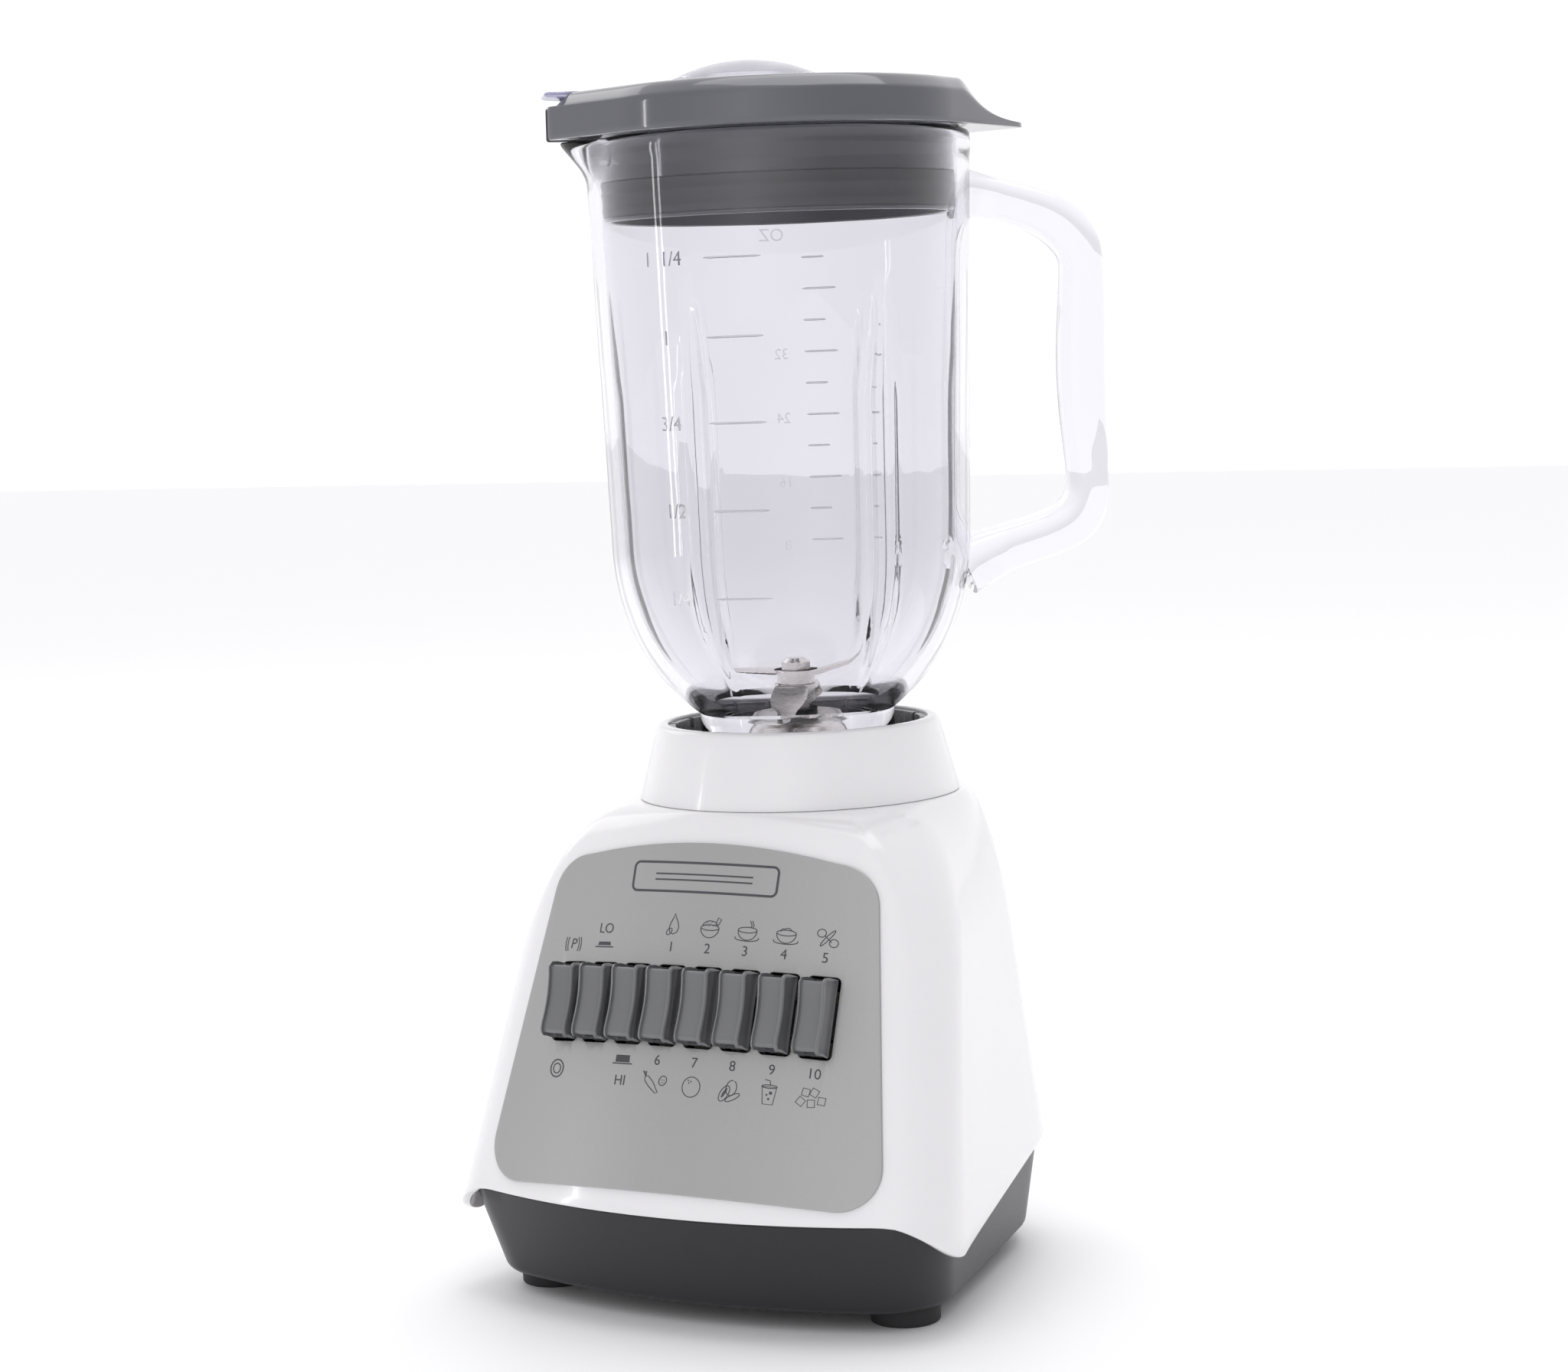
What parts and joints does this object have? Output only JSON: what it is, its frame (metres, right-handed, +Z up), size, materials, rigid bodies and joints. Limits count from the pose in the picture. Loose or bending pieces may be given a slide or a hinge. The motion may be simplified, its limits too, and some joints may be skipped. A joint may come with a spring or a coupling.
{
  "type": "countertop blender",
  "caption": "Countertop blender with a flared white motor base, tilted key panel, lift-off glass jar with a handle and spout, lid, measuring cap and driven blades.",
  "frame": {"origin": "middle of the object's footprint box, on the surface that the feet stand on", "axes": "+Z up, -Y towards the user and the key panel, +X to the user's right"},
  "size_m": [0.1761, 0.1709, 0.3819],
  "materials": {
    "white_shell": "glossy",
    "dark_pan": "satin",
    "foot_rubber": "matte",
    "panel_silver": "satin",
    "key_grey": "glossy",
    "switch_plastic": "matte",
    "latch_steel": "satin",
    "screw_steel": "satin",
    "cast_bracket": "cast",
    "lamination_steel": "satin",
    "copper_coil": "enamelled",
    "bush_bronze": "satin",
    "brush_brass": "satin",
    "carbon": "matte",
    "fan_plastic": "matte",
    "drive_plastic": "matte",
    "ring_grey": "satin",
    "gasket_rubber": "matte",
    "jar_glass": "clear",
    "blade_steel": "brushed",
    "lid_grey": "glossy",
    "seal_grey": "satin",
    "cap_clear": "clear tinted"
  },
  "bodies": {
    "base": {"base_housing": "white_shell", "bottom_pan": "dark_pan", "pan_screws": "screw_steel", "foot_front_left": "foot_rubber", "foot_front_right": "foot_rubber", "foot_rear_left": "foot_rubber", "foot_rear_right": "foot_rubber", "control_panel": "panel_silver", "slot_guide": "fan_plastic", "switch_block": "switch_plastic", "cord_gland": "foot_rubber", "motor_mounts": "foot_rubber", "motor_bracket_lower": "cast_bracket", "motor_bracket_upper": "cast_bracket", "motor_screws": "screw_steel", "bearing_lower": "bush_bronze", "bearing_upper": "bush_bronze", "stator_core": "lamination_steel", "field_coils": "copper_coil", "brush_holders": "brush_brass", "carbon_brushes": "carbon"},
    "rotor": {"motor_shaft": "screw_steel", "rotor_core": "lamination_steel", "rotor_windings": "copper_coil", "commutator": "brush_brass", "cooling_fan": "fan_plastic", "drive_stud": "drive_plastic"},
    "jar": {"jar_base": "white_shell", "collar_ring": "ring_grey", "jar_gasket": "gasket_rubber", "glass_jar": "jar_glass", "agitator_plate": "blade_steel", "blade_bearing": "bush_bronze"},
    "blades": {"blade_shaft": "blade_steel", "drive_socket": "drive_plastic", "upper_blade": "blade_steel", "lower_blade": "blade_steel", "blade_washers": "blade_steel", "blade_nut": "blade_steel"},
    "lid": {"lid": "lid_grey", "lid_seal": "seal_grey", "flap_pin": "screw_steel"},
    "cap": {"measuring_cap": "cap_clear"},
    "flap": {"pour_flap": "cap_clear"},
    "latch": {"latch_bar": "latch_steel"},
    "key_off_pulse_body": {"key_off_pulse": "key_grey"},
    "key_low_body": {"key_low": "key_grey"},
    "key_high_body": {"key_high": "key_grey"},
    "key_speed_1_6_body": {"key_speed_1_6": "key_grey"},
    "key_speed_2_7_body": {"key_speed_2_7": "key_grey"},
    "key_speed_3_8_body": {"key_speed_3_8": "key_grey"},
    "key_speed_4_9_body": {"key_speed_4_9": "key_grey"},
    "key_speed_5_10_body": {"key_speed_5_10": "key_grey"}
  },
  "joints": [
    {"name": "motor_spin", "type": "hinge", "parent": "base", "child": "rotor", "pos_m": [0, 0.0152, 0], "axis": [0, 0, 1], "continuous": true},
    {"name": "jar_lift", "type": "slide", "parent": "base", "child": "jar", "axis": [0, 0, 1], "range_m": [0, 0.06]},
    {"name": "blade_spin", "type": "hinge", "parent": "jar", "child": "blades", "pos_m": [0, 0.0152, 0], "axis": [0, 0, 1], "continuous": true},
    {"name": "lid_lift", "type": "slide", "parent": "jar", "child": "lid", "axis": [0, 0, 1], "range_m": [0, 0.06]},
    {"name": "cap_lift", "type": "slide", "parent": "lid", "child": "cap", "axis": [0, 0, 1], "range_m": [0, 0.04]},
    {"name": "flap_hinge", "type": "hinge", "parent": "lid", "child": "flap", "pos_m": [-0.04288, -0.01595, 0.37159], "axis": [-0.5878, 0.809, 0], "range_deg": [0, 95]},
    {"name": "latch_slide", "type": "slide", "parent": "base", "child": "latch", "axis": [1, 0, 0], "range_m": [0, 0.002], "stiffness_N_per_m": 300, "springref_m": -0.001},
    {"name": "key_off_pulse_press", "type": "slide", "parent": "base", "child": "key_off_pulse_body", "axis": [0, 0.9348, -0.3552], "range_m": [0, 0.0045], "stiffness_N_per_m": 500, "springref_m": -0.001},
    {"name": "key_low_press", "type": "slide", "parent": "base", "child": "key_low_body", "axis": [0, 0.9348, -0.3552], "range_m": [0, 0.0045], "stiffness_N_per_m": 500, "springref_m": -0.001},
    {"name": "key_high_press", "type": "slide", "parent": "base", "child": "key_high_body", "axis": [0, 0.9348, -0.3552], "range_m": [0, 0.0045], "stiffness_N_per_m": 500, "springref_m": -0.001},
    {"name": "key_speed_1_6_press", "type": "slide", "parent": "base", "child": "key_speed_1_6_body", "axis": [0, 0.9348, -0.3552], "range_m": [0, 0.0045], "stiffness_N_per_m": 500, "springref_m": -0.001},
    {"name": "key_speed_2_7_press", "type": "slide", "parent": "base", "child": "key_speed_2_7_body", "axis": [0, 0.9348, -0.3552], "range_m": [0, 0.0045], "stiffness_N_per_m": 500, "springref_m": -0.001},
    {"name": "key_speed_3_8_press", "type": "slide", "parent": "base", "child": "key_speed_3_8_body", "axis": [0, 0.9348, -0.3552], "range_m": [0, 0.0045], "stiffness_N_per_m": 500, "springref_m": -0.001},
    {"name": "key_speed_4_9_press", "type": "slide", "parent": "base", "child": "key_speed_4_9_body", "axis": [0, 0.9348, -0.3552], "range_m": [0, 0.0045], "stiffness_N_per_m": 500, "springref_m": -0.001},
    {"name": "key_speed_5_10_press", "type": "slide", "parent": "base", "child": "key_speed_5_10_body", "axis": [0, 0.9348, -0.3552], "range_m": [0, 0.0045], "stiffness_N_per_m": 500, "springref_m": -0.001}
  ],
  "couplings": [
    {"joint": "blade_spin", "follows": "motor_spin", "ratio": 1}
  ]
}
